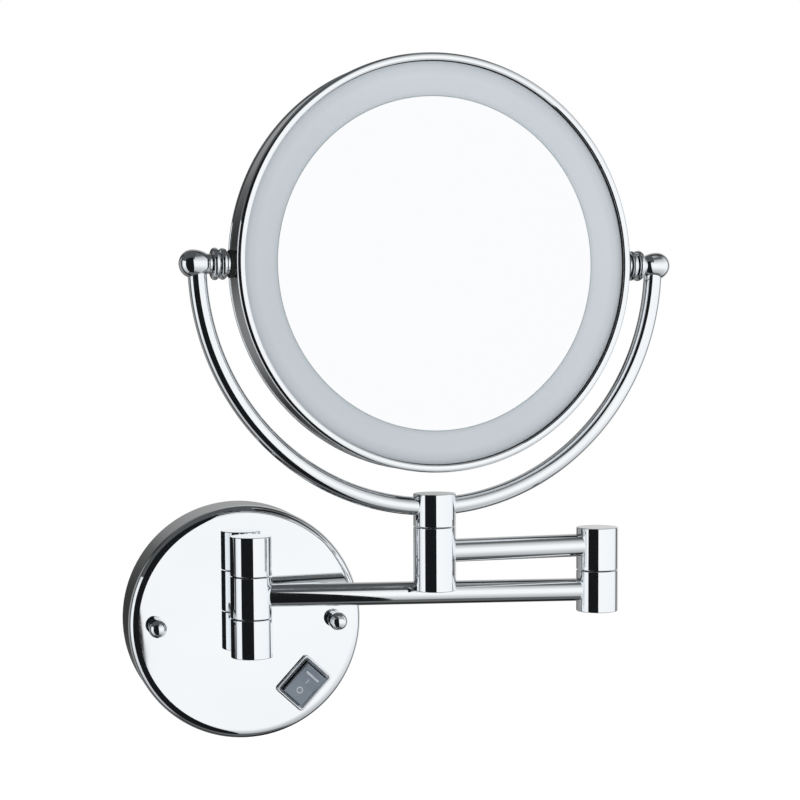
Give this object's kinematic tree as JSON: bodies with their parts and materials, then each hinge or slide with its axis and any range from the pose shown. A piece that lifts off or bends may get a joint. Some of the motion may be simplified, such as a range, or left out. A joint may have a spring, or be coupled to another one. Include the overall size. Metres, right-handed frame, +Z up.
{
  "type": "extendable shaving mirror",
  "caption": "Wall-mounted lit shaving mirror: a round double-sided mirror in a half-hoop yoke on a folding two-link chrome arm, with a rocker switch on its round wall unit.",
  "frame": {"origin": "centre of the wall bracket's back face, on the wall", "axes": "+Z up, +Y into the wall, +X to the right as a user in front of the mirror sees it"},
  "size_m": [0.2858, 0.0957, 0.3556],
  "materials": {
    "chrome": "polished chrome plating",
    "steel": "plain machined steel",
    "zinc_plate": "zinc-plated pressed steel",
    "silvered_glass": "silvered mirror glass",
    "frosted_acrylic": "frosted light diffuser, unlit",
    "white_plastic": "moulded white plastic",
    "led_board": "white solder mask",
    "circuit_board": "green solder mask",
    "black_plastic": "moulded black plastic",
    "rocker_plastic": "satin blue-grey moulded key",
    "nylon": "natural nylon",
    "rubber": "black moulded rubber"
  },
  "bodies": {
    "wall_unit": {"wall_bracket": "zinc_plate", "stud_left": "steel", "stud_right": "steel", "cable_grommet": "rubber", "wall_cover": "chrome", "cap_nut_left": "chrome", "cap_nut_right": "chrome", "hinge_plate": "zinc_plate", "hinge_stub_upper": "chrome", "hinge_stub_lower": "chrome", "hinge_nut_upper": "steel", "hinge_nut_lower": "steel", "hinge_barrel_upper": "chrome", "hinge_barrel_lower": "chrome", "hinge_pin": "steel", "hinge_cap": "chrome", "switch_frame": "chrome", "switch_body": "black_plastic", "driver_case": "white_plastic", "driver_board": "circuit_board", "driver_lid": "white_plastic", "terminal_block": "white_plastic"},
    "rocker": {"switch_rocker": "rocker_plastic"},
    "lower_arm": {"lower_arm_barrel": "chrome", "hinge_washer_upper": "nylon", "hinge_washer_lower": "nylon", "lower_arm_tube": "chrome", "elbow_barrel_lower": "chrome", "elbow_washer": "nylon", "elbow_cap": "chrome"},
    "upper_arm": {"elbow_barrel_upper": "chrome", "elbow_screw": "steel", "upper_arm_tube": "chrome", "post_barrel": "chrome", "post_washer": "nylon", "post_cap": "chrome"},
    "yoke": {"yoke_barrel": "chrome", "post_screw": "steel", "yoke_tube_left": "chrome", "yoke_tube_right": "chrome", "finial_left": "chrome", "finial_right": "chrome", "pivot_disc_left": "chrome", "pivot_disc_right": "chrome", "pivot_screw_left": "steel", "pivot_screw_right": "steel", "pivot_nut_left": "steel", "pivot_nut_right": "steel"},
    "mirror_head": {"head_boss_left": "chrome", "head_boss_right": "chrome", "head_band": "chrome", "front_bezel": "chrome", "rear_bezel": "chrome", "front_glass": "silvered_glass", "light_diffuser": "frosted_acrylic", "led_board": "led_board", "inner_tray": "white_plastic", "rear_glass": "silvered_glass"}
  },
  "joints": [
    {"name": "wall_hinge", "type": "hinge", "parent": "wall_unit", "child": "lower_arm", "pos_m": [0, -0.0472, 0], "axis": [0, 0, -1], "range_deg": [-7.6, 172.4]},
    {"name": "elbow", "type": "hinge", "parent": "lower_arm", "child": "upper_arm", "pos_m": [0.18189, -0.07147, 0], "axis": [0, 0, 1], "range_deg": [0, 337.9]},
    {"name": "post_swivel", "type": "hinge", "parent": "upper_arm", "child": "yoke", "pos_m": [0.09105, -0.0769, 0], "axis": [0, 0, 1], "range_deg": [-165, 165]},
    {"name": "mirror_tilt", "type": "hinge", "parent": "yoke", "child": "mirror_head", "pos_m": [0.09105, -0.0769, 0.1874], "axis": [0.9965, 0.0837, 0], "range_deg": [-180, 180]},
    {"name": "light_switch", "type": "hinge", "parent": "wall_unit", "child": "rocker", "pos_m": [0.03017, -0.0323, -0.03339], "axis": [-0.7314, 0, 0.682], "range_deg": [0, 10]}
  ]
}
